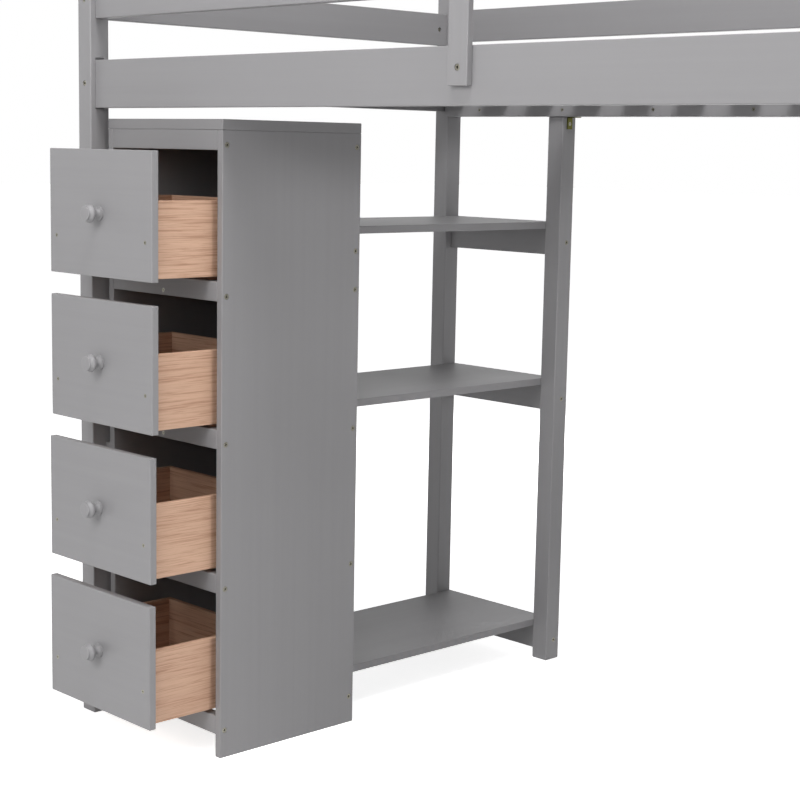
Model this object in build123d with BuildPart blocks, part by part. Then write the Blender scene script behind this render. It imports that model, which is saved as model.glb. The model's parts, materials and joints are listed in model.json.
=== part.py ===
"""Twin loft bed with a desk, a bookcase and a tower of four drawers.

Every place is given in a corner frame: x from the left end, y from the front face of the
posts and z from the floor. FLOOR and CORNER carry that frame to the part's own origin, which
is at floor level in the middle of the part's box, with the drawers standing open.
"""

from build123d import *

import os
from collections import namedtuple

# Bed frame
LENGTH = 1980
WIDTH = 1066
HEIGHT = 1700
POST = 44
BOARD = 20
BOARD_INSET = (POST - BOARD) / 2
RAIL_BOTTOM = 1266
RAIL_HEIGHT = 95
# The back side frame sits this much higher than the front one
BACK_RISE = 9
END_RAIL_BOLT_RISE = 28
GUARD_HEIGHT = 74
GUARD_BOTTOMS = (1443, 1600)
STILE_X = 1055
STILE_THICKNESS = 12
STILE_BOTTOM = 1297
STILE_TOP = 1690
STILE_BOLT_RISE = 29
EASE = 1.5
POST_EASE = 2.5
SHEET_EASE = 0.5
MORTISE_DEPTH = 4
MORTISE_GAP = 0.5
MORTISE_SHOW = (2.5, 5)

# Slats
LEDGER_HEIGHT = 40
SLAT_COUNT = 14
SLAT_WIDTH = 70
SLAT_PITCH = 140
SLAT_THICKNESS = 16
FIRST_SLAT = 80
SLAT_PLAY = 1
LEDGER_SCREW_PITCH = 259
LEDGER_SCREW_START = 155
LEDGER_SCREW_RISE = 15

# Drawer tower
TOWER_LEFT = 60
TOWER_RIGHT = 436
TOWER_FRONT = 31
TOWER_BACK = 382
TOWER_TOP = 1245
TOP_THICKNESS = 20
PANEL = 16
TOWER_RAIL = 22
TOWER_RAIL_HEIGHT = 38
HEADER_BOTTOM = 1187
BAY_PITCH = 285.3
BACK_PANEL = 3
RUNNER_WIDTH = 28
RUNNER_DROP = 22
RUNNER_RISE = 7.6
CENTRE_RAIL_WIDTH = 20
CENTRE_RAIL_RISE = 6
STOP_LENGTH = 14
STOP_PLAY = 0.5
STOP_RISE = 40
TOWER_BOLT_RISE = 10
SPACER_HEIGHT = 80
SPACER_BOTTOMS = (90, 500, 1080)
SPACER_SETBACK = 1
CLEAT_SCREW_INSET = 132
CLEAT_SCREW_DROP = 30

# Drawers
DRAWER_PULLS = (149, 149, 154, 156)
DRAWER_DEPTH = 285
FRONT_THICKNESS = 15
FRONT_HEIGHT = 242
FRONT_SIDE_GAP = 1.5
FRONT_LIFT = 3
BOX_INSET = 16
BOX_LIFT = 8
BOX_HEIGHT = 145
BOX_SIDE = 12
BOTTOM_THICKNESS = 3.8
GROOVE_LIFT = 6
GROOVE_DEPTH = 5
GROOVE_PLAY = 0.2
GUIDE_LENGTH = 49
GUIDE_WIDTH = 12.8
GUIDE_PLAY = 1.2
GUIDE_DROP = 4
FRONT_SCREW_RISE = 73
FRONT_SCREW_INSET = 22
KNOB_RISE = 121
KNOB_REACH = 34
KNOB_FLANGE = 14
KNOB_FLANGE_THICKNESS = 2.5
# Radius and reach of the knob's outline: the neck, then the head up to its dome
KNOB_NECK = ((9.5, 5), (8, 9), (9, 13), (14.5, 17))
KNOB_HEAD = ((17.5, 23), (14.5, 29.5))

# Bookcase
SHELF_LEG_LEFT = 367
SHELF = 16
SHELF_TOPS = (93, 672, 1035.5)
STRETCHER = 16
STRETCHER_HEIGHT = 60
STRETCHER_FRONT = 1040

# Desk and ladder
LADDER_POST_FRONT = 420
DESK_LEFT = 1480
DESK_LEG_LEFT = 1520
DESK_TOP = 750
DESK_THICKNESS = 19
DESK_CORNER = 25
APRON = 16
APRON_HEIGHT = 60
LOW_STRETCHER_BOTTOM = 120
DESK_BOLT_INSET = 14
RUNG_COUNT = 4
RUNG_THICKNESS = 24
END_STRETCHER_BOTTOM = 120

# Fasteners
BOLT_LENGTH = 80
SHORT_BOLT = 50
STILE_BOLT = 28
BOLT_HEAD = 5.5
BOLT_HEAD_DEPTH = 3
BOLT_SINK = 0.8
BOLT_SHANK = 3
HEX_RADIUS = 2.9
HEX_DEPTH = 2.2
NUT_RADIUS = 5
NUT_LENGTH = 14
NUT_SETBACK = 12
NUT_MOUTH = 10
SCREW_LENGTH = 35
SHORT_SCREW = 20
SPACER_SCREW = 45
SCREW_HEAD = 4
SCREW_HEAD_DEPTH = 2.4
SCREW_SHANK = 2
RECESS_LENGTH = 4
RECESS_WIDTH = 1
RECESS_DEPTH = 1.2
FASTENER_PLAY = 0.3
DRILL_OVERRUN = 1
TOUCH = 0.01

# Corner bracket under the back rail
BRACKET_WIDTH = 16
BRACKET_LEG = 28
BRACKET_THICKNESS = 2
BRACKET_SIDE_HOLE = 16
BRACKET_TOP_HOLE = 18

LEFT, RIGHT = (-1, 0, 0), (1, 0, 0)
FRONT, BACK = (0, -1, 0), (0, 1, 0)
DOWN, UP = (0, 0, -1), (0, 0, 1)

RAIL_TOP = RAIL_BOTTOM + RAIL_HEIGHT
BACK_RAIL_BOTTOM = RAIL_BOTTOM + BACK_RISE
LEDGER_BOTTOM = BACK_RAIL_BOTTOM
DECK = LEDGER_BOTTOM + LEDGER_HEIGHT
END_RAIL = (RAIL_TOP - GUARD_HEIGHT, RAIL_TOP)
POST_MIDDLE = POST / 2
FRONT_BOARD = (BOARD_INSET, BOARD_INSET + BOARD)
BACK_BOARD = (WIDTH - BOARD_INSET - BOARD, WIDTH - BOARD_INSET)
LEFT_BOARD = FRONT_BOARD
RIGHT_BOARD = (LENGTH - BOARD_INSET - BOARD, LENGTH - BOARD_INSET)
GUARDS = [(bottom, bottom + GUARD_HEIGHT) for bottom in GUARD_BOTTOMS]
LEDGER_FRONT = (FRONT_BOARD[1], FRONT_BOARD[1] + BOARD)
LEDGER_BACK = (BACK_BOARD[0] - BOARD, BACK_BOARD[0])
OPENING = (TOWER_LEFT + PANEL, TOWER_RIGHT - PANEL)
OPENING_MIDDLE = sum(OPENING) / 2
RAIL_SPANS = [
    (HEADER_BOTTOM - bay * BAY_PITCH, HEADER_BOTTOM - bay * BAY_PITCH + TOWER_RAIL_HEIGHT)
    for bay in range(len(DRAWER_PULLS) + 1)
]
DRAWER_FLOORS = [span[1] for span in RAIL_SPANS[1:]]
TOWER_FRONT_RAIL = (TOWER_FRONT, TOWER_FRONT + TOWER_RAIL)
TOWER_REAR_RAIL = (TOWER_BACK - TOWER_RAIL, TOWER_BACK)
LEG_X = (SHELF_LEG_LEFT, SHELF_LEG_LEFT + POST)
BACK_POST = (WIDTH - POST, WIDTH)
STRETCHER_Y = (STRETCHER_FRONT, STRETCHER_FRONT + STRETCHER)
STRETCHER_MIDDLE = sum(STRETCHER_Y) / 2
STRETCHER_SPANS = [(top - SHELF - STRETCHER_HEIGHT, top - SHELF) for top in SHELF_TOPS]
LADDER_POST = (LADDER_POST_FRONT, LADDER_POST_FRONT + POST)
DESK_LEG_X = (DESK_LEG_LEFT, DESK_LEG_LEFT + POST)
DESK_RIGHT = LENGTH - POST
DESK_UNDER = DESK_TOP - DESK_THICKNESS
APRON_SPAN = (DESK_UNDER - APRON_HEIGHT, DESK_UNDER)
LOW_SPAN = (LOW_STRETCHER_BOTTOM, LOW_STRETCHER_BOTTOM + APRON_HEIGHT)
RUNG_PITCH = RAIL_TOP / (RUNG_COUNT + 1)

ORIGIN_Y = (WIDTH + TOWER_FRONT - max(DRAWER_PULLS) - KNOB_REACH) / 2
CORNER = Vector(-LENGTH / 2, -ORIGIN_Y, 0)
FLOOR = Plane(origin=CORNER)

Fastener = namedtuple("Fastener", "x y z way length nut", defaults=(None,))


def middle(span):
    """The middle of a (low, high) pair."""
    return (span[0] + span[1]) / 2


def centred(centre, size):
    """The (low, high) pair of a size about its centre."""
    return (centre - size / 2, centre + size / 2)


def seat_of(item):
    """The plane of a fastener's head face, looking out of the board."""
    return Plane(origin=CORNER + Vector(item.x, item.y, item.z), z_dir=item.way)


def enters(item, shank, *spans):
    """Whether a fastener's shank runs into the box of three (low, high) pairs."""
    for span, start, way in zip(spans, item[:3], item.way):
        tip = start - way * item.length
        reach = 0 if way else shank
        if max(start, tip) + reach <= span[0] + TOUCH:
            return False
        if min(start, tip) - reach >= span[1] - TOUCH:
            return False
    return True


def nut_plane(item):
    """The plane through a barrel nut's middle, across the bolt that it holds."""
    reach = item.length - NUT_SETBACK
    return Plane(origin=seat_of(item).offset(-reach).origin, z_dir=item.nut)


def bore_bolt(item):
    """Counterbores the current board for a bolt, and drills the hole of its barrel nut."""
    with Locations(seat_of(item)):
        CounterBoreHole(
            radius=BOLT_SHANK + FASTENER_PLAY,
            counter_bore_radius=BOLT_HEAD + FASTENER_PLAY,
            counter_bore_depth=BOLT_SINK + BOLT_HEAD_DEPTH,
            depth=item.length + DRILL_OVERRUN,
        )


def bore_nut(item):
    """Drills the blind hole that a barrel nut is dropped into."""
    with Locations(nut_plane(item).offset(NUT_MOUTH)):
        Hole(NUT_RADIUS + FASTENER_PLAY, depth=NUT_MOUTH + NUT_LENGTH / 2 + FASTENER_PLAY)


def bore_screw(item):
    """Drills and countersinks the current board for a wood screw."""
    with Locations(seat_of(item)):
        CounterSinkHole(
            radius=SCREW_SHANK + FASTENER_PLAY,
            counter_sink_radius=SCREW_HEAD + FASTENER_PLAY,
            depth=item.length + DRILL_OVERRUN,
        )


def board(label, x, y, z, bolts=(), screws=(), ease=EASE):
    """A straight board between three (low, high) pairs, its edges eased and its holes bored."""
    with BuildPart() as wood:
        with BuildSketch(FLOOR.offset(z[0])):
            with Locations((middle(x), middle(y))):
                Rectangle(x[1] - x[0], y[1] - y[0])
        extrude(amount=z[1] - z[0])
        fillet(wood.edges(), ease)
        for item in bolts:
            if enters(item, BOLT_SHANK, x, y, z):
                bore_bolt(item)
                nut = item.nut and CORNER * -1 + nut_plane(item).origin
                if nut and x[0] < nut.X < x[1] and y[0] < nut.Y < y[1] and z[0] < nut.Z < z[1]:
                    bore_nut(item)
        for item in screws:
            if enters(item, SCREW_SHANK, x, y, z):
                bore_screw(item)
    wood.part.label = label
    return wood.part


def bolt(item):
    """A flat-headed bolt with a hexagon socket, its head sunk just below the board's face."""
    seat = seat_of(item).offset(-BOLT_SINK)
    with BuildPart() as body:
        with BuildSketch(seat.offset(-BOLT_HEAD_DEPTH)):
            Circle(BOLT_HEAD)
        extrude(amount=BOLT_HEAD_DEPTH)
        chamfer(body.edges().filter_by(GeomType.CIRCLE), BOLT_HEAD_DEPTH / 5)
        with BuildSketch(seat):
            RegularPolygon(radius=HEX_RADIUS, side_count=6)
        extrude(amount=-HEX_DEPTH, mode=Mode.SUBTRACT)
        with BuildSketch(seat.offset(-BOLT_HEAD_DEPTH)):
            Circle(BOLT_SHANK)
        extrude(amount=BOLT_HEAD_DEPTH + BOLT_SINK - item.length)
    return body.part


def barrel_nut(item):
    """The cross dowel that a frame bolt screws into."""
    plane = nut_plane(item)
    with BuildPart() as body:
        with BuildSketch(plane.offset(-NUT_LENGTH / 2)):
            Circle(NUT_RADIUS)
        extrude(amount=NUT_LENGTH)
        with Locations(seat_of(item).offset(NUT_SETBACK + NUT_RADIUS - item.length)):
            Hole(BOLT_SHANK + FASTENER_PLAY / 2, depth=3 * NUT_RADIUS)
    return body.part


def screw(item):
    """A countersunk wood screw with a cross recess."""
    seat = seat_of(item)
    with BuildPart() as body:
        with BuildSketch(seat):
            Circle(SCREW_HEAD)
        with BuildSketch(seat.offset(-SCREW_HEAD_DEPTH)):
            Circle(SCREW_SHANK)
        loft()
        with BuildSketch(seat.offset(-SCREW_HEAD_DEPTH)):
            Circle(SCREW_SHANK)
        extrude(amount=SCREW_HEAD_DEPTH - item.length)
        with BuildSketch(seat):
            Rectangle(RECESS_LENGTH, RECESS_WIDTH)
            Rectangle(RECESS_WIDTH, RECESS_LENGTH)
        extrude(amount=-RECESS_DEPTH, mode=Mode.SUBTRACT)
    return body.part


def save(label, pieces):
    """Writes one node, a single piece or a group of separate ones."""
    node = pieces[0] if len(pieces) == 1 else Compound(children=pieces)
    node.label = label
    export_step(node, f"parts/{label}.step")


# ---------------------------------------------------------------- fasteners


def end_frame_bolts():
    """Bolts along y, through the posts into the end rails and end guards."""
    heights = [END_RAIL[0] + END_RAIL_BOLT_RISE] + [middle(span) for span in GUARDS]
    found = []
    for height in heights:
        found.append(Fastener(POST_MIDDLE, 0, height, FRONT, BOLT_LENGTH, RIGHT))
        found.append(Fastener(POST_MIDDLE, WIDTH, height, BACK, BOLT_LENGTH, RIGHT))
        found.append(Fastener(LENGTH - POST_MIDDLE, WIDTH, height, BACK, BOLT_LENGTH, LEFT))
    found.append(Fastener(LENGTH - POST_MIDDLE, 0, heights[0], FRONT, BOLT_LENGTH, LEFT))
    for height in heights[1:]:
        found.append(
            Fastener(LENGTH - POST_MIDDLE, LADDER_POST[0], height, FRONT, BOLT_LENGTH, LEFT)
        )
    return found


def side_frame_bolts():
    """Bolts along x, two to each board end, through the posts into side rails and guards."""
    found = []
    for low, high in [(RAIL_BOTTOM, RAIL_TOP), *GUARDS]:
        for height in (low + (high - low) / 4, high - (high - low) / 4):
            sides = ((middle(FRONT_BOARD), BACK, 0), (middle(BACK_BOARD), FRONT, BACK_RISE))
            for y, nut, rise in sides:
                found.append(Fastener(0, y, height + rise, LEFT, BOLT_LENGTH, nut))
                found.append(Fastener(LENGTH, y, height + rise, RIGHT, BOLT_LENGTH, nut))
    return found


def stile_bolts():
    """Short bolts that hold the guard stiles to the rails and guards."""
    found = []
    for height in (STILE_BOTTOM + STILE_BOLT_RISE, *(middle(span) for span in GUARDS)):
        found.append(Fastener(STILE_X + POST_MIDDLE, 0, height, FRONT, STILE_BOLT))
        back_height = height + BACK_RISE
        found.append(Fastener(STILE_X + POST_MIDDLE, WIDTH, back_height, BACK, STILE_BOLT))
    return found


def tower_bolts():
    """Bolts through the tower's side panels into its rails, and down through its top."""
    found = []
    for x, way in ((TOWER_LEFT, LEFT), (TOWER_RIGHT, RIGHT)):
        for y in (middle(TOWER_FRONT_RAIL), middle(TOWER_REAR_RAIL)):
            for low, _ in RAIL_SPANS:
                found.append(Fastener(x, y, low + TOWER_BOLT_RISE, way, SHORT_BOLT))
        height = middle(STRETCHER_SPANS[2])
        found.append(Fastener(x, middle(TOWER_REAR_RAIL), height, way, SHORT_BOLT))
    for x in (TOWER_LEFT + PANEL / 2, TOWER_RIGHT - PANEL / 2):
        for y in (TOWER_FRONT + POST, TOWER_BACK - POST):
            found.append(Fastener(x, y, TOWER_TOP, UP, SHORT_BOLT))
    return found


def shelf_bolts():
    """Bolts through the shelf leg and the back left post into the stretchers."""
    found = []
    for span in STRETCHER_SPANS:
        for x, way in ((0, LEFT), (LEG_X[1], RIGHT)):
            found.append(Fastener(x, STRETCHER_MIDDLE, middle(span), way, BOLT_LENGTH))
    return found


def desk_and_ladder_bolts():
    """Bolts of the desk's aprons, its low stretchers, the end stretcher and the rungs."""
    front_y = middle(LADDER_POST)
    back_y = WIDTH - POST_MIDDLE
    leg_x = middle(DESK_LEG_X)
    end_x = LENGTH - POST_MIDDLE
    low_apron = APRON_SPAN[0] + DESK_BOLT_INSET
    high_apron = APRON_SPAN[1] - DESK_BOLT_INSET
    high_stretcher = LOW_SPAN[1] - DESK_BOLT_INSET
    found = []
    for y in (front_y, back_y):
        found.append(Fastener(DESK_LEG_X[0], y, low_apron, LEFT, BOLT_LENGTH))
        found.append(Fastener(LENGTH, y, middle(APRON_SPAN), RIGHT, BOLT_LENGTH))
        found.append(Fastener(DESK_LEG_X[0], y, middle(LOW_SPAN), LEFT, BOLT_LENGTH))
        found.append(Fastener(LENGTH, y, middle(LOW_SPAN) - DESK_BOLT_INSET, RIGHT, BOLT_LENGTH))
    found.append(Fastener(leg_x, LADDER_POST[0], high_apron, FRONT, BOLT_LENGTH))
    found.append(Fastener(leg_x, WIDTH, high_apron, BACK, BOLT_LENGTH))
    found.append(Fastener(end_x, LADDER_POST[0], high_stretcher, FRONT, BOLT_LENGTH))
    found.append(Fastener(end_x, WIDTH, high_stretcher, BACK, BOLT_LENGTH))
    for step in range(1, RUNG_COUNT + 1):
        height = step * RUNG_PITCH - RUNG_THICKNESS / 2
        found.append(Fastener(end_x, 0, height, FRONT, BOLT_LENGTH))
        found.append(Fastener(end_x, LADDER_POST[1], height, BACK, BOLT_LENGTH))
    return found


def frame_screws():
    """Wood screws of the ledgers, slats, cleats, runners, spacers, desk cleat and bracket."""
    found = []
    x = LEDGER_SCREW_START
    while x < LENGTH - LEDGER_SCREW_START:
        height = LEDGER_BOTTOM + LEDGER_SCREW_RISE
        found.append(Fastener(x, LEDGER_FRONT[1], height, BACK, SCREW_LENGTH))
        found.append(Fastener(x, LEDGER_BACK[0], height, FRONT, SCREW_LENGTH))
        x += LEDGER_SCREW_PITCH
    for slat in range(SLAT_COUNT):
        for ledger in (LEDGER_FRONT, LEDGER_BACK):
            x = FIRST_SLAT + slat * SLAT_PITCH
            found.append(Fastener(x, middle(ledger), DECK + SLAT_THICKNESS, UP, SCREW_LENGTH))
    for low, _ in RAIL_SPANS[1:]:
        height = low + TOWER_BOLT_RISE
        found.append(Fastener(OPENING_MIDDLE, TOWER_FRONT, height, FRONT, SCREW_LENGTH))
        found.append(Fastener(OPENING_MIDDLE, TOWER_BACK, height, BACK, SCREW_LENGTH))
    for x in (TOWER_LEFT + CLEAT_SCREW_INSET, TOWER_RIGHT - CLEAT_SCREW_INSET):
        for span in STRETCHER_SPANS:
            height = span[1] - CLEAT_SCREW_DROP
            found.append(Fastener(x, TOWER_BACK + STRETCHER, height, BACK, SCREW_LENGTH))
    for low in SPACER_BOTTOMS:
        height = low + SPACER_HEIGHT / 2
        y = middle((TOWER_FRONT, POST))
        found.append(Fastener(OPENING[0], y, height, RIGHT, SPACER_SCREW))
    cleat_x = DESK_RIGHT - BOARD / 2
    apron_faces = (centred(middle(LADDER_POST), APRON)[0], centred(middle(BACK_POST), APRON)[1])
    for y, way in zip(apron_faces, (FRONT, BACK)):
        height = APRON_SPAN[0] + DESK_BOLT_INSET
        found.append(Fastener(cleat_x, y, height, way, SCREW_LENGTH))
    return found


def bracket_screws():
    """The two screws of the corner bracket, one into the leg and one up into the rail."""
    y = middle(BACK_BOARD)
    side = LEG_X[1] + BRACKET_THICKNESS
    under = BACK_RAIL_BOTTOM - BRACKET_THICKNESS
    return [
        Fastener(side, y, BACK_RAIL_BOTTOM - BRACKET_SIDE_HOLE, RIGHT, SHORT_SCREW),
        Fastener(LEG_X[1] + BRACKET_TOP_HOLE, y, under, DOWN, SHORT_SCREW),
    ]


FRAME_BOLTS = end_frame_bolts() + side_frame_bolts()
BOLTS = FRAME_BOLTS + stile_bolts() + tower_bolts() + shelf_bolts() + desk_and_ladder_bolts()
SCREWS = frame_screws() + bracket_screws()


def frame_board(label, x, y, z, ease=EASE):
    """A board of the fixed frame, bored for every bolt and screw of the frame."""
    return board(label, x, y, z, BOLTS, SCREWS, ease)


# ---------------------------------------------------------------- bed frame


def post(label, x, y):
    """A corner post with a shallow mortise that takes the end of its side rail."""
    inner = x[1] if x[0] == 0 else x[0]
    rail, rise = (FRONT_BOARD, 0) if y[0] == 0 else (BACK_BOARD, BACK_RISE)
    blank = frame_board(label, x, y, (0, HEIGHT), POST_EASE)
    with BuildPart() as body:
        add(blank)
        with BuildSketch(FLOOR.offset(RAIL_BOTTOM + rise - MORTISE_SHOW[0])):
            with Locations((inner, middle(rail))):
                Rectangle(2 * MORTISE_DEPTH, BOARD + 2 * MORTISE_GAP)
        extrude(amount=RAIL_HEIGHT + sum(MORTISE_SHOW), mode=Mode.SUBTRACT)
    body.part.label = label
    return body.part


def bed_posts():
    """The four corner posts, the ladder post and the shelf leg."""
    left, right = (0, POST), (LENGTH - POST, LENGTH)
    save("post_front_left", [post("post_front_left", left, (0, POST))])
    save("post_back_left", [post("post_back_left", left, BACK_POST)])
    save("post_front_right", [post("post_front_right", right, (0, POST))])
    save("post_back_right", [post("post_back_right", right, BACK_POST)])
    save("ladder_post", [frame_board("ladder_post", right, LADDER_POST, (0, HEIGHT), POST_EASE)])
    leg_z = (0, BACK_RAIL_BOTTOM)
    save("shelf_leg", [frame_board("shelf_leg", LEG_X, BACK_POST, leg_z, POST_EASE)])


def bed_rails():
    """The side rails, which enter the posts' mortises, the end rails and the ledgers."""
    seat = MORTISE_DEPTH - MORTISE_GAP
    long = (POST - seat, LENGTH - POST + seat)
    high = (RAIL_BOTTOM, RAIL_TOP)
    back_high = (BACK_RAIL_BOTTOM, BACK_RAIL_BOTTOM + RAIL_HEIGHT)
    across = (POST, WIDTH - POST)
    save("side_rail_front", [frame_board("side_rail_front", long, FRONT_BOARD, high)])
    save("side_rail_back", [frame_board("side_rail_back", long, BACK_BOARD, back_high)])
    save("end_rail_left", [frame_board("end_rail_left", LEFT_BOARD, across, END_RAIL)])
    behind = (LADDER_POST[1], WIDTH - POST)
    low = (END_STRETCHER_BOTTOM, END_STRETCHER_BOTTOM + APRON_HEIGHT)
    save(
        "end_rails_right",
        [
            frame_board("top_step", RIGHT_BOARD, (POST, LADDER_POST[0]), high),
            frame_board("end_rail", RIGHT_BOARD, behind, END_RAIL),
            frame_board("end_stretcher", RIGHT_BOARD, behind, low),
        ],
    )
    span = (POST, LENGTH - POST)
    ledge = (LEDGER_BOTTOM, DECK)
    save(
        "slat_ledgers",
        [
            frame_board("ledger_front", span, LEDGER_FRONT, ledge),
            frame_board("ledger_back", span, LEDGER_BACK, ledge),
        ],
    )


def bed_slats():
    """The slats, from rail to rail on the ledgers."""
    slats = []
    for slat in range(SLAT_COUNT):
        x = centred(FIRST_SLAT + slat * SLAT_PITCH, SLAT_WIDTH)
        y = (FRONT_BOARD[1] + SLAT_PLAY, BACK_BOARD[0] - SLAT_PLAY)
        slats.append(frame_board(f"slat_{slat + 1}", x, y, (DECK, DECK + SLAT_THICKNESS)))
    save("slats", slats)


def bed_guards():
    """Two guard boards on every side, and the stiles that tie them to the side rails."""
    long = (POST, LENGTH - POST)
    sides = {
        "guard_boards_front": (long, FRONT_BOARD),
        "guard_boards_back": (long, BACK_BOARD),
        "guard_boards_left": (LEFT_BOARD, (POST, WIDTH - POST)),
        "guard_boards_right": (RIGHT_BOARD, (LADDER_POST[1], WIDTH - POST)),
    }
    for label, (x, y) in sides.items():
        rise = BACK_RISE if y == BACK_BOARD else 0
        spans = [(low + rise, high + rise) for low, high in GUARDS]
        save(label, [frame_board(label, x, y, span) for span in spans])
    x = (STILE_X, STILE_X + POST)
    tall = (STILE_BOTTOM, STILE_TOP)
    back_tall = (STILE_BOTTOM + BACK_RISE, STILE_TOP + BACK_RISE)
    save(
        "guard_stiles",
        [
            frame_board("stile_front", x, (0, STILE_THICKNESS), tall),
            frame_board("stile_back", x, (WIDTH - STILE_THICKNESS, WIDTH), back_tall),
        ],
    )


# ---------------------------------------------------------------- drawer tower


def tower_case():
    """The tower's side panels, top, front rails, rear rails and thin back panel."""
    deep = (TOWER_FRONT, TOWER_BACK)
    tall = (0, TOWER_TOP - TOP_THICKNESS)
    left = (TOWER_LEFT, OPENING[0])
    right = (OPENING[1], TOWER_RIGHT)
    save("tower_panel_left", [frame_board("tower_panel_left", left, deep, tall)])
    save("tower_panel_right", [frame_board("tower_panel_right", right, deep, tall)])
    wide = (TOWER_LEFT, TOWER_RIGHT)
    lid = (TOWER_TOP - TOP_THICKNESS, TOWER_TOP)
    save("tower_top", [frame_board("tower_top", wide, deep, lid)])
    fronts = [frame_board("rail", OPENING, TOWER_FRONT_RAIL, span) for span in RAIL_SPANS]
    save("tower_front_rails", fronts)
    spans = [*RAIL_SPANS, STRETCHER_SPANS[2]]
    save("tower_rear_rails", [frame_board("rail", OPENING, TOWER_REAR_RAIL, s) for s in spans])
    skin_y = (TOWER_REAR_RAIL[0] - BACK_PANEL, TOWER_REAR_RAIL[0])
    skin_z = (RAIL_SPANS[-1][0], TOWER_TOP - TOP_THICKNESS)
    skin = frame_board("tower_back_panel", OPENING, skin_y, skin_z, SHEET_EASE)
    save("tower_back_panel", [skin])


def tower_runners():
    """For each drawer two side runners, a centre rail and the block that stops it."""
    deep = (TOWER_FRONT_RAIL[1], TOWER_REAR_RAIL[0] - BACK_PANEL)
    centre_x = centred(OPENING_MIDDLE, CENTRE_RAIL_WIDTH)
    drawer_back = TOWER_FRONT + DRAWER_DEPTH
    stop_y = (drawer_back + STOP_PLAY, drawer_back + STOP_LENGTH)
    runners = []
    for floor in DRAWER_FLOORS:
        rest = (floor - RUNNER_DROP, floor + RUNNER_RISE)
        runners.append(
            frame_board("runner", (OPENING[0], OPENING[0] + RUNNER_WIDTH), deep, rest)
        )
        runners.append(
            frame_board("runner", (OPENING[1] - RUNNER_WIDTH, OPENING[1]), deep, rest)
        )
        top = floor + CENTRE_RAIL_RISE
        runners.append(frame_board("centre_rail", centre_x, deep, (floor - TOWER_RAIL_HEIGHT, top)))
        runners.append(board("stop", centre_x, stop_y, (top, floor + STOP_RISE)))
    save("tower_runners", runners)


def tower_spacers():
    """Blocks that stand the tower off the front left post."""
    x = (POST, TOWER_LEFT)
    y = (TOWER_FRONT + SPACER_SETBACK, POST)
    spans = [(low, low + SPACER_HEIGHT) for low in SPACER_BOTTOMS]
    save("tower_spacers", [frame_board("spacer", x, y, span) for span in spans])


# ---------------------------------------------------------------- drawers


def drawer_screws(face, floor):
    """A drawer's screws: two through the front, one into the knob, two in each back corner."""
    inner = face + FRONT_THICKNESS
    rear = face + DRAWER_DEPTH - BOX_SIDE / 2
    box = (OPENING[0] + FRONT_SIDE_GAP + BOX_INSET, OPENING[1] - FRONT_SIDE_GAP - BOX_INSET)
    height = floor + FRONT_LIFT + FRONT_SCREW_RISE
    found = []
    for x in (box[0] + BOX_SIDE / 2, box[1] - BOX_SIDE / 2):
        found.append(Fastener(x, face, height, FRONT, SCREW_LENGTH))
    knob_z = floor + FRONT_LIFT + KNOB_RISE
    found.append(Fastener(OPENING_MIDDLE, inner, knob_z, BACK, SCREW_LENGTH))
    for rise in (BOX_HEIGHT / 4, 3 * BOX_HEIGHT / 4):
        height = floor + BOX_LIFT + rise
        found.append(Fastener(box[0], rear, height, LEFT, SHORT_SCREW))
        found.append(Fastener(box[1], rear, height, RIGHT, SHORT_SCREW))
    return found


def drawer_side(label, x, inner_x, y, floor, screws):
    """A drawer side with the groove that holds the bottom."""
    blank = board(label, x, y, (floor + BOX_LIFT, floor + BOX_LIFT + BOX_HEIGHT), (), screws)
    with BuildPart() as side:
        add(blank)
        with BuildSketch(FLOOR.offset(floor + BOX_LIFT + GROOVE_LIFT)):
            with Locations((inner_x, middle(y))):
                Rectangle(2 * GROOVE_DEPTH, 2 * DRAWER_DEPTH)
        extrude(amount=BOTTOM_THICKNESS + 2 * GROOVE_PLAY, mode=Mode.SUBTRACT)
    side.part.label = label
    return side.part


def knob(label, face, height):
    """A turned wooden knob: a flange on the drawer front, a neck and a domed head."""
    axis = Plane(origin=CORNER + Vector(OPENING_MIDDLE, face, height), x_dir=RIGHT, z_dir=UP)
    rim = (KNOB_FLANGE, -KNOB_FLANGE_THICKNESS)
    neck = [(radius, -reach) for radius, reach in KNOB_NECK]
    head = [(radius, -reach) for radius, reach in KNOB_HEAD]
    tip = (0, -KNOB_REACH)
    with BuildPart() as turned:
        with BuildSketch(axis):
            with BuildLine():
                Polyline((0, 0), (KNOB_FLANGE, 0), rim)
                Spline(rim, *neck)
                Spline(neck[-1], *head, tip, tangents=[(0.7, -1), (-1, 0)])
                Line(tip, (0, 0))
            make_face()
        revolve(axis=Axis(axis.origin, axis.y_dir))
        with Locations(Plane(origin=axis.origin, z_dir=BACK)):
            Hole(SCREW_SHANK + FASTENER_PLAY, depth=SCREW_LENGTH - FRONT_THICKNESS + DRILL_OVERRUN)
    turned.part.label = label
    return turned.part


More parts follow.
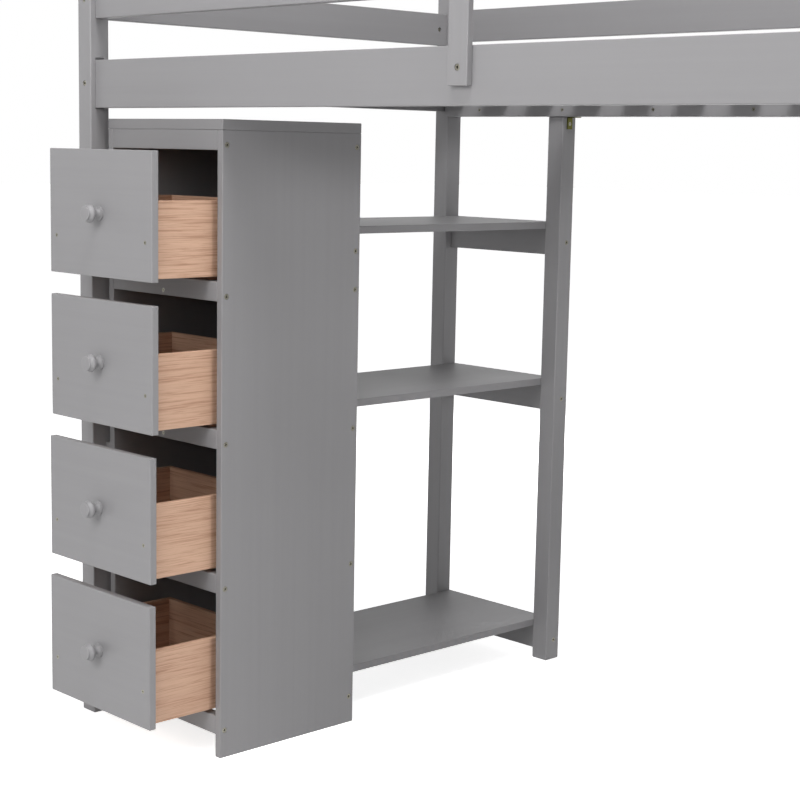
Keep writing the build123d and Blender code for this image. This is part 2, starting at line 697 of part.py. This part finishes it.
def drawer(number, pull, floor):
    """One drawer, standing open by pull: its front, two sides, back, bottom, knob and screws."""
    face = TOWER_FRONT - pull
    front_x = (OPENING[0] + FRONT_SIDE_GAP, OPENING[1] - FRONT_SIDE_GAP)
    front_z = (floor + FRONT_LIFT, floor + FRONT_LIFT + FRONT_HEIGHT)
    box_x = (front_x[0] + BOX_INSET, front_x[1] - BOX_INSET)
    inner_x = (box_x[0] + BOX_SIDE, box_x[1] - BOX_SIDE)
    box_y = (face + FRONT_THICKNESS, face + DRAWER_DEPTH)
    bottom_z = floor + BOX_LIFT + GROOVE_LIFT + GROOVE_PLAY
    screws = drawer_screws(face, floor)
    name = f"drawer_{number}"
    front_y = (face, face + FRONT_THICKNESS)
    save(f"{name}_front", [board(f"{name}_front", front_x, front_y, front_z, (), screws)])
    left = drawer_side("side_left", (box_x[0], inner_x[0]), inner_x[0], box_y, floor, screws)
    right = drawer_side("side_right", (inner_x[1], box_x[1]), inner_x[1], box_y, floor, screws)
    save(f"{name}_sides", [left, right])
    back_y = (box_y[1] - BOX_SIDE, box_y[1])
    back_z = (bottom_z + BOTTOM_THICKNESS, floor + BOX_LIFT + BOX_HEIGHT)
    save(f"{name}_back", [board(f"{name}_back", inner_x, back_y, back_z, (), screws)])
    slot = GROOVE_DEPTH - GROOVE_PLAY
    sheet_x = (inner_x[0] - slot, inner_x[1] + slot)
    sheet_z = (bottom_z, bottom_z + BOTTOM_THICKNESS)
    half_gap = CENTRE_RAIL_WIDTH / 2 + GUIDE_PLAY
    guide_y = (box_y[1] - GUIDE_LENGTH, box_y[1])
    guide_z = (floor - GUIDE_DROP, bottom_z)
    left_x = (OPENING_MIDDLE - half_gap - GUIDE_WIDTH, OPENING_MIDDLE - half_gap)
    right_x = (OPENING_MIDDLE + half_gap, OPENING_MIDDLE + half_gap + GUIDE_WIDTH)
    save(
        f"{name}_bottom",
        [
            board("sheet", sheet_x, box_y, sheet_z, ease=SHEET_EASE),
            board("guide_left", left_x, guide_y, guide_z),
            board("guide_right", right_x, guide_y, guide_z),
        ],
    )
    save(f"{name}_knob", [knob(f"{name}_knob", face, floor + FRONT_LIFT + KNOB_RISE)])
    save(f"{name}_screws", [screw(item) for item in screws])


# ---------------------------------------------------------------- bookcase and desk


def bookcase():
    """Three shelves, on stretchers at the back and on cleats on the tower's back."""
    deep = (TOWER_BACK, WIDTH)
    wide = (POST, LEG_X[0])
    shelves = [frame_board("shelf", wide, deep, (top - SHELF, top)) for top in SHELF_TOPS]
    save("shelves", shelves)
    backs = [frame_board("stretcher", wide, STRETCHER_Y, span) for span in STRETCHER_SPANS]
    save("shelf_stretchers", backs)
    cleat_y = (TOWER_BACK, TOWER_BACK + STRETCHER)
    cleat_x = (OPENING[0], LEG_X[0])
    cleats = [frame_board("cleat", cleat_x, cleat_y, span) for span in STRETCHER_SPANS]
    save("shelf_cleats", cleats)


def desk():
    """The desktop, its two legs, its aprons and low stretchers, and its end cleat."""
    front_leg, back_leg = LADDER_POST, BACK_POST
    blank_y = (front_leg[0], WIDTH)
    with BuildPart() as top:
        with BuildSketch(FLOOR.offset(DESK_UNDER)):
            with Locations((middle((DESK_LEFT, DESK_RIGHT)), middle(blank_y))):
                Rectangle(DESK_RIGHT - DESK_LEFT, blank_y[1] - blank_y[0])
        extrude(amount=DESK_THICKNESS)
        corners = top.edges().filter_by(Axis.Z).group_by(Axis.X)[0]
        fillet(corners, DESK_CORNER)
        fillet(top.faces().filter_by(Axis.Z).edges(), EASE)
    save("desk_top", [top.part])
    tall = (0, DESK_UNDER)
    legs = [
        frame_board("leg_front", DESK_LEG_X, front_leg, tall, POST_EASE),
        frame_board("leg_back", DESK_LEG_X, back_leg, tall, POST_EASE),
    ]
    save("desk_legs", legs)
    along = (DESK_LEG_X[1], DESK_RIGHT)
    front_y = centred(middle(front_leg), APRON)
    back_y = centred(middle(back_leg), APRON)
    side_x = centred(middle(DESK_LEG_X), APRON)
    cleat_x = (DESK_RIGHT - BOARD, DESK_RIGHT)
    rails = [
        frame_board("apron_front", along, front_y, APRON_SPAN),
        frame_board("apron_back", along, back_y, APRON_SPAN),
        frame_board("apron_side", side_x, (front_leg[1], back_leg[0]), APRON_SPAN),
        frame_board("low_front", along, front_y, LOW_SPAN),
        frame_board("low_back", along, back_y, LOW_SPAN),
        frame_board("end_cleat", cleat_x, (front_y[1], back_y[0]), APRON_SPAN),
    ]
    save("desk_rails", rails)


def ladder_rungs():
    """Flat rungs between the front right post and the ladder post."""
    rungs = []
    x = (LENGTH - POST, LENGTH)
    for step in range(1, RUNG_COUNT + 1):
        z = (step * RUNG_PITCH - RUNG_THICKNESS, step * RUNG_PITCH)
        rungs.append(frame_board(f"rung_{step}", x, (POST, LADDER_POST[0]), z, POST_EASE))
    save("ladder_rungs", rungs)


def leg_bracket():
    """The bent metal bracket that ties the shelf leg to the back rail."""
    y = centred(middle(BACK_BOARD), BRACKET_WIDTH)
    corner = CORNER + Vector(LEG_X[1], y[0], BACK_RAIL_BOTTOM)
    section = Plane(origin=corner, x_dir=RIGHT, z_dir=FRONT)
    with BuildPart() as bracket:
        with BuildSketch(section):
            with BuildLine():
                Polyline(
                    (0, 0),
                    (BRACKET_LEG, 0),
                    (BRACKET_LEG, -BRACKET_THICKNESS),
                    (BRACKET_THICKNESS, -BRACKET_THICKNESS),
                    (BRACKET_THICKNESS, -BRACKET_LEG),
                    (0, -BRACKET_LEG),
                    close=True,
                )
            make_face()
        extrude(amount=-BRACKET_WIDTH)
        for item in bracket_screws():
            bore_screw(item)
    save("leg_bracket", [bracket.part])


os.makedirs("parts", exist_ok=True)
bed_posts()
bed_rails()
bed_slats()
bed_guards()
tower_case()
tower_runners()
tower_spacers()
for index, (drawer_pull, drawer_floor) in enumerate(zip(DRAWER_PULLS, DRAWER_FLOORS)):
    drawer(index + 1, drawer_pull, drawer_floor)
bookcase()
desk()
ladder_rungs()
leg_bracket()
save("bolts", [bolt(item) for item in BOLTS])
save("barrel_nuts", [barrel_nut(item) for item in FRAME_BOLTS])
save("wood_screws", [screw(item) for item in SCREWS])
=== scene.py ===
"""Studio scene of the twin loft bed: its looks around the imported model."""

import json
import math

import bpy
from mathutils import Matrix, Vector


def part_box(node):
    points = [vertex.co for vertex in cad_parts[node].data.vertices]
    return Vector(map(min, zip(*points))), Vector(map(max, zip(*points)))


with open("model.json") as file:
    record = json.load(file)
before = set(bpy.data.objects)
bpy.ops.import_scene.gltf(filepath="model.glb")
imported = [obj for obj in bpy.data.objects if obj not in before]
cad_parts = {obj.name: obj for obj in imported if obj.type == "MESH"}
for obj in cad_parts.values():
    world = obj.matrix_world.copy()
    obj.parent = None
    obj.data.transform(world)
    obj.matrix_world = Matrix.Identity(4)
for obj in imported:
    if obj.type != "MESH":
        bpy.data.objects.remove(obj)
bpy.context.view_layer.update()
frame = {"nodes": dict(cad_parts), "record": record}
NODES = frame["nodes"]

# The left end's outer face, the front posts' front face and the floor
CORNER = Vector((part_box("post_front_left")[0].x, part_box("post_front_left")[0].y, 0.0))

# Camera, from that corner
CAMERA_PLACE = Vector((3.032, -1.983, 1.198))
CAMERA_TURN = math.radians(46.24)
CAMERA_DROP = math.radians(8.30)
CAMERA_ROLL = math.radians(1.11)
SENSOR = 36.0
FOCAL_SHARE = 2.1606

# Stage
FLOOR_REACH = 40.0
FLOOR_DROP = 0.0005
STAGE_AIM = (-0.4, 0.0, 0.8)
LIGHT_GAIN = 1.24
BOUNCE_PALENESS = 0.66
FLOOR_PALENESS = 0.90
# The seen floor's own glow near the bed and far from it, and the distances between them
NEAR_GLOW = 0.78
FAR_GLOW = 1.0
GLOW_REACH = (0.9, 3.2)
SMALL_BOX, LARGE_BOX, LOW_BOX = (1.1, 1.1), (2.6, 2.6), (2.6, 1.1)


# ---------------------------------------------------------------- node helpers


class Shade:
    """A material's node tree, with short calls to add and join nodes."""

    def __init__(self, name):
        self.material = bpy.data.materials.new(name)
        self.material.use_nodes = True
        self.tree = self.material.node_tree
        self.shader = self.tree.nodes["Principled BSDF"]
        self.place = self.add("ShaderNodeTexCoord").outputs["Object"]

    def add(self, kind, **values):
        """A new node, with its own settings and its inputs' plain values."""
        node = self.tree.nodes.new(kind)
        for key, value in values.items():
            if key in node.inputs:
                node.inputs[key].default_value = value
            else:
                setattr(node, key, value)
        return node

    def join(self, output, target):
        self.tree.links.new(output, target)

    def stretched(self, scale, shift=(0, 0, 0)):
        """The object's coordinates, scaled along each axis and shifted."""
        node = self.add("ShaderNodeMapping")
        node.inputs["Scale"].default_value = scale
        node.inputs["Location"].default_value = shift
        self.join(self.place, node.inputs["Vector"])
        return node.outputs["Vector"]

    def noise(self, vector, scale, detail=3.0, roughness=0.5, distortion=0.0):
        """Noise from 0 to 1 at a place."""
        node = self.add("ShaderNodeTexNoise", Scale=scale, Detail=detail, Roughness=roughness)
        node.inputs["Distortion"].default_value = distortion
        self.join(vector, node.inputs["Vector"])
        return node.outputs["Fac"]

    def ramp(self, factor, *stops):
        """A colour ramp of (place, colour) stops."""
        node = self.add("ShaderNodeValToRGB")
        elements = node.color_ramp.elements
        while len(elements) < len(stops):
            elements.new(0.5)
        for element, (place, colour) in zip(elements, stops):
            element.position = place
            element.color = (*colour, 1.0)
        self.join(factor, node.inputs["Fac"])
        return node.outputs["Color"]

    def span(self, factor, low, high, start=0.0, end=1.0):
        """A number moved from the range start..end to low..high."""
        node = self.add("ShaderNodeMapRange")
        limits = {"From Min": start, "From Max": end, "To Min": low, "To Max": high}
        for key, value in limits.items():
            node.inputs[key].default_value = value
        self.join(factor, node.inputs["Value"])
        return node.outputs["Result"]

    def blend(self, kind, factor, first, second):
        """Two colours mixed; factor is a number or an output."""
        node = self.add("ShaderNodeMix", data_type="RGBA", blend_type=kind)
        if isinstance(factor, float):
            node.inputs[0].default_value = factor
        else:
            self.join(factor, node.inputs[0])
        self.join(first, node.inputs[6])
        self.join(second, node.inputs[7])
        return node.outputs[2]

    def bumps(self, *layers):
        """Stacks (height, strength, distance) layers into the shader's normal."""
        previous = None
        for height, strength, distance in layers:
            node = self.add("ShaderNodeBump", Strength=strength, Distance=distance)
            self.join(height, node.inputs["Height"])
            if previous:
                self.join(previous, node.inputs["Normal"])
            previous = node.outputs["Normal"]
        self.join(previous, self.shader.inputs["Normal"])

    def colour(self, output):
        self.join(output, self.shader.inputs["Base Color"])

    def rough(self, output):
        self.join(output, self.shader.inputs["Roughness"])

    def plain(self, **values):
        for key, value in values.items():
            self.shader.inputs[key.replace("_", " ")].default_value = value


def along(axis, length, width):
    """Mapping scales for grain that runs along an axis, 0 to 2."""
    scale = [width] * 3
    scale[axis] = length
    return scale


def grey(level):
    """A neutral grey."""
    return (level, level, level)


# ---------------------------------------------------------------- materials


WHITE = (1.0, 1.0, 1.0)
# How far off a wall the painted shade still darkens sunk metal, how dark that painted shade is,
# and the metal's dark mottle
RECESS_REACH = 0.0025
RECESS_SHADE_LEVEL = 0.03
MOTTLE_SHARE = 0.6
PAINT_LOW = (0.249, 0.244, 0.251)
PAINT_MIDDLE = (0.255, 0.250, 0.257)
PAINT_HIGH = (0.261, 0.256, 0.263)
WOOD_LOW = (0.625, 0.396, 0.278)
WOOD_MIDDLE = (0.655, 0.422, 0.297)
WOOD_HIGH = (0.685, 0.448, 0.318)
# Tints that the wood's colour is multiplied by
LINE_DARK = (0.66, 0.56, 0.50)
LINE_EDGE = (0.88, 0.84, 0.81)
THREAD_DARK = (0.74, 0.67, 0.62)
PORE_DARK = (0.80, 0.72, 0.66)
TONE_DARK = (0.97, 0.955, 0.94)


def grey_paint(axis):
    """Satin grey paint over solid wood: a faint grain telegraphs through the coat."""
    shade = Shade(f"grey_paint_{'xyz'[axis]}")
    grain = shade.noise(shade.stretched(along(axis, 1.2, 60.0)), 1.0, 4.0, 0.55, 0.3)
    cloud = shade.noise(shade.place, 2.4, 3.0, 0.55)
    specks = shade.noise(shade.place, 900.0, 2.0, 0.5)
    base = shade.ramp(grain, (0.30, PAINT_LOW), (0.50, PAINT_MIDDLE), (0.75, PAINT_HIGH))
    patch = shade.ramp(cloud, (0.30, grey(0.965)), (0.70, grey(1.0)))
    shade.colour(shade.blend("MULTIPLY", 1.0, base, patch))
    shade.rough(shade.span(cloud, 0.48, 0.58, 0.3, 0.7))
    shade.bumps((grain, 0.05, 0.0004), (specks, 0.04, 0.0002))
    shade.plain(Coat_Weight=0.08, Coat_Roughness=0.35)
    return shade.material


def bare_wood(axis):
    """Sanded pale wood: fine wavy growth lines, short pores and a slow drift in tone."""
    shade = Shade(f"bare_wood_{'xyz'[axis]}")
    wide = shade.noise(shade.stretched(along(axis, 0.9, 26.0)), 1.0, 2.0, 0.5, 0.25)
    lines = shade.noise(shade.stretched(along(axis, 6.0, 230.0)), 1.0, 3.0, 0.6, 0.7)
    fine = shade.noise(shade.stretched(along(axis, 11.0, 620.0)), 1.0, 3.0, 0.6, 0.3)
    pores = shade.noise(shade.stretched(along(axis, 40.0, 1500.0)), 1.0, 2.0, 0.6)
    drift = shade.noise(shade.place, 5.0, 2.0, 0.5)
    base = shade.ramp(wide, (0.32, WOOD_LOW), (0.50, WOOD_MIDDLE), (0.68, WOOD_HIGH))
    streak = shade.ramp(lines, (0.36, LINE_DARK), (0.44, LINE_EDGE), (0.52, WHITE))
    thread = shade.ramp(fine, (0.34, THREAD_DARK), (0.50, WHITE))
    pore = shade.ramp(pores, (0.30, PORE_DARK), (0.44, WHITE))
    tone = shade.ramp(drift, (0.30, TONE_DARK), (0.70, WHITE))
    colour = shade.blend("MULTIPLY", 0.75, base, streak)
    colour = shade.blend("MULTIPLY", 0.70, colour, thread)
    colour = shade.blend("MULTIPLY", 0.50, colour, pore)
    shade.colour(shade.blend("MULTIPLY", 1.0, colour, tone))
    shade.rough(shade.span(lines, 0.66, 0.54))
    shade.bumps((lines, 0.16, 0.0005), (pores, 0.10, 0.0003))
    return shade.material


def plated(name, colour, roughness):
    """Zinc-plated steel: a faint mottle, and painted shade where the metal is sunk."""
    shade = Shade(name)
    mottle = shade.noise(shade.place, 700.0, 3.0, 0.6)
    fine = shade.noise(shade.place, 2600.0, 2.0, 0.5)
    dark = tuple(level * MOTTLE_SHARE for level in colour)
    metal = shade.ramp(mottle, (0.35, dark), (0.65, colour))
    # Painted shade: an occlusion node darkens the metal's colour in sockets and near walls, in
    # place of shade there
    hollow = shade.add("ShaderNodeAmbientOcclusion", only_local=True, samples=8)
    hollow.inputs["Distance"].default_value = RECESS_REACH
    painted_recess_shade = shade.ramp(hollow.outputs["AO"], (0.45, grey(RECESS_SHADE_LEVEL)), (0.85, WHITE))
    shade.colour(shade.blend("MULTIPLY", 1.0, metal, painted_recess_shade))
    shade.rough(shade.span(mottle, roughness * 0.8, roughness * 1.3, 0.3, 0.7))
    shade.bumps((fine, 0.12, 0.0002))
    shade.plain(Metallic=1.0)
    return shade.material


PAINT = [grey_paint(axis) for axis in range(3)]
WOOD = [bare_wood(axis) for axis in range(3)]
ZINC = plated("zinc", (0.33, 0.315, 0.26), 0.28)
YELLOW_ZINC = plated("yellow_zinc", (0.105, 0.103, 0.025), 0.42)
GRAINED = {"grey_paint": PAINT, "bare_wood": WOOD}
METALS = {"zinc": ZINC, "yellow_zinc": YELLOW_ZINC}


# ---------------------------------------------------------------- carried-over nodes


def wear(node, material):
    """Gives a CAD node one material."""
    mesh = NODES[node].data
    mesh.materials.clear()
    mesh.materials.append(material)


def grain_axis(node):
    """The axis that a node's boards run along: its longest side."""
    low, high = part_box(node)
    size = high - low
    return max(range(3), key=lambda axis: size[axis])


# The axis of the boards in the nodes whose longest side isn't along them
GRAIN = {
    "slats": 1,
    "guard_stiles": 2,
    "shelf_stretchers": 0,
    "shelf_cleats": 0,
    "shelves": 1,
    "tower_front_rails": 0,
    "tower_rear_rails": 0,
    "tower_runners": 1,
    "tower_spacers": 2,
    "desk_rails": 0,
    "end_rails_right": 1,
    "guard_boards_right": 1,
    "guard_boards_left": 1,
    "ladder_rungs": 1,
}


def dress():
    """Every CAD node's material, from its slot in the record and its grain direction."""
    for row in frame["record"]["subparts"]:
        node, slot = row["node"], row["material_slot"]
        axis = GRAIN.get(node, grain_axis(node))
        if node.endswith("_sides"):
            axis = 1
        wear(node, GRAINED[slot][axis] if slot in GRAINED else METALS[slot])


dress()


# ---------------------------------------------------------------- stage


def floor_sheet(name, material, drop=0.0):
    """A square of floor, larger than any view."""
    mesh = bpy.data.meshes.new(name)
    corners = [(-1, -1), (1, -1), (1, 1), (-1, 1)]
    places = [(FLOOR_REACH * x, FLOOR_REACH * y, -drop) for x, y in corners]
    mesh.from_pydata(places, [], [(0, 1, 2, 3)])
    mesh.materials.append(material)
    floor = bpy.data.objects.new(name, mesh)
    bpy.context.scene.collection.objects.link(floor)
    return floor


def stage_floor():
    """A pale floor that bounces the light, under a brighter one that only the camera sees."""
    bounce_card = floor_finish("floor_bounce", BOUNCE_PALENESS, 0.0, 0.0)
    bounce = floor_sheet("floor_bounce", bounce_card, FLOOR_DROP)
    bounce.visible_camera = False
    seen = floor_sheet("floor", floor_finish("floor", FLOOR_PALENESS, NEAR_GLOW, FAR_GLOW))
    seen.visible_diffuse = False
    seen.visible_shadow = False


def floor_finish(name, paleness, near_glow, far_glow):
    """Matt white card; its glow grows away from the bed, as on a lit sweep."""
    shade = Shade(name)
    mottle = shade.noise(shade.place, 2.0)
    shade.colour(shade.ramp(mottle, (0.3, grey(paleness)), (0.7, grey(paleness + 0.03))))
    distance = shade.add("ShaderNodeVectorMath", operation="LENGTH")
    shade.join(shade.place, distance.inputs[0])
    if far_glow:
        shade.plain(Emission_Color=(1.0, 1.0, 1.0, 1.0))
        glow = shade.span(distance.outputs["Value"], near_glow, far_glow, *GLOW_REACH)
        shade.join(glow, shade.shader.inputs["Emission Strength"])
    shade.plain(Roughness=0.9)
    shade.shader.inputs["Specular IOR Level"].default_value = 0.1
    return shade.material


def soft_box(name, place, size, power):
    """A rectangular studio light at a place, turned to the bed."""
    light = bpy.data.lights.new(name, "AREA")
    light.shape = "RECTANGLE"
    light.size, light.size_y = size
    light.energy = power * LIGHT_GAIN
    lamp = bpy.data.objects.new(name, light)
    lamp.location = place
    lamp.rotation_mode = "QUATERNION"
    lamp.rotation_quaternion = (Vector(STAGE_AIM) - Vector(place)).to_track_quat("-Z", "Y")
    bpy.context.scene.collection.objects.link(lamp)
    return lamp


def studio():
    """Softboxes overhead, in front, to both sides and low behind, and white surroundings."""
    world = bpy.data.worlds.new("studio")
    bpy.context.scene.world = world
    world.use_nodes = True
    back = world.node_tree.nodes["Background"]
    back.inputs["Color"].default_value = (1.0, 1.0, 1.0, 1.0)
    back.inputs["Strength"].default_value = 1.0
    world.cycles_visibility.diffuse = False
    soft_box("overhead_front", (0.5, -0.8, 3.6), SMALL_BOX, 52)
    soft_box("overhead_back", (0.7, 0.8, 3.6), SMALL_BOX, 11)
    soft_box("key", (0.7, -3.4, 2.6), LARGE_BOX, 39)
    soft_box("front_high", (0.3, -3.4, 2.6), SMALL_BOX, 16)
    soft_box("front_right", (3.0, -3.4, 2.6), SMALL_BOX, 2)
    soft_box("front_left", (-1.8, -3.4, 2.6), SMALL_BOX, 6)
    soft_box("front_fill", (-0.6, -3.4, 1.5), LARGE_BOX, 23)
    soft_box("right_fill", (3.6, -0.5, 1.5), SMALL_BOX, 40)
    soft_box("left_fill", (-3.4, -1.5, 1.6), SMALL_BOX, 3)
    back_fill = soft_box("back_fill", (-2.0, 4.0, 0.8), LOW_BOX, 80)
    back_fill.visible_glossy = False


def camera():
    """The camera, at the place and angle worked out for the view."""
    data = bpy.data.cameras.new("camera")
    data.sensor_width = SENSOR
    data.lens = SENSOR * FOCAL_SHARE
    data.clip_end = 200
    view = bpy.data.objects.new("camera", data)
    bpy.context.scene.collection.objects.link(view)
    forward = Vector(
        (
            -math.sin(CAMERA_TURN) * math.cos(CAMERA_DROP),
            math.cos(CAMERA_TURN) * math.cos(CAMERA_DROP),
            -math.sin(CAMERA_DROP),
        )
    )
    right = Vector((math.cos(CAMERA_TURN), math.sin(CAMERA_TURN), 0))
    up = right.cross(forward)
    across = right * math.cos(CAMERA_ROLL) + up * math.sin(CAMERA_ROLL)
    upright = across.cross(forward)
    turn = Matrix((across, upright, -forward)).transposed()
    view.rotation_mode = "QUATERNION"
    view.rotation_quaternion = turn.to_quaternion()
    view.location = CORNER + CAMERA_PLACE
    bpy.context.scene.camera = view


stage_floor()
studio()
camera()
bpy.context.scene.view_settings.view_transform = "Standard"

bpy.context.view_layer.update()
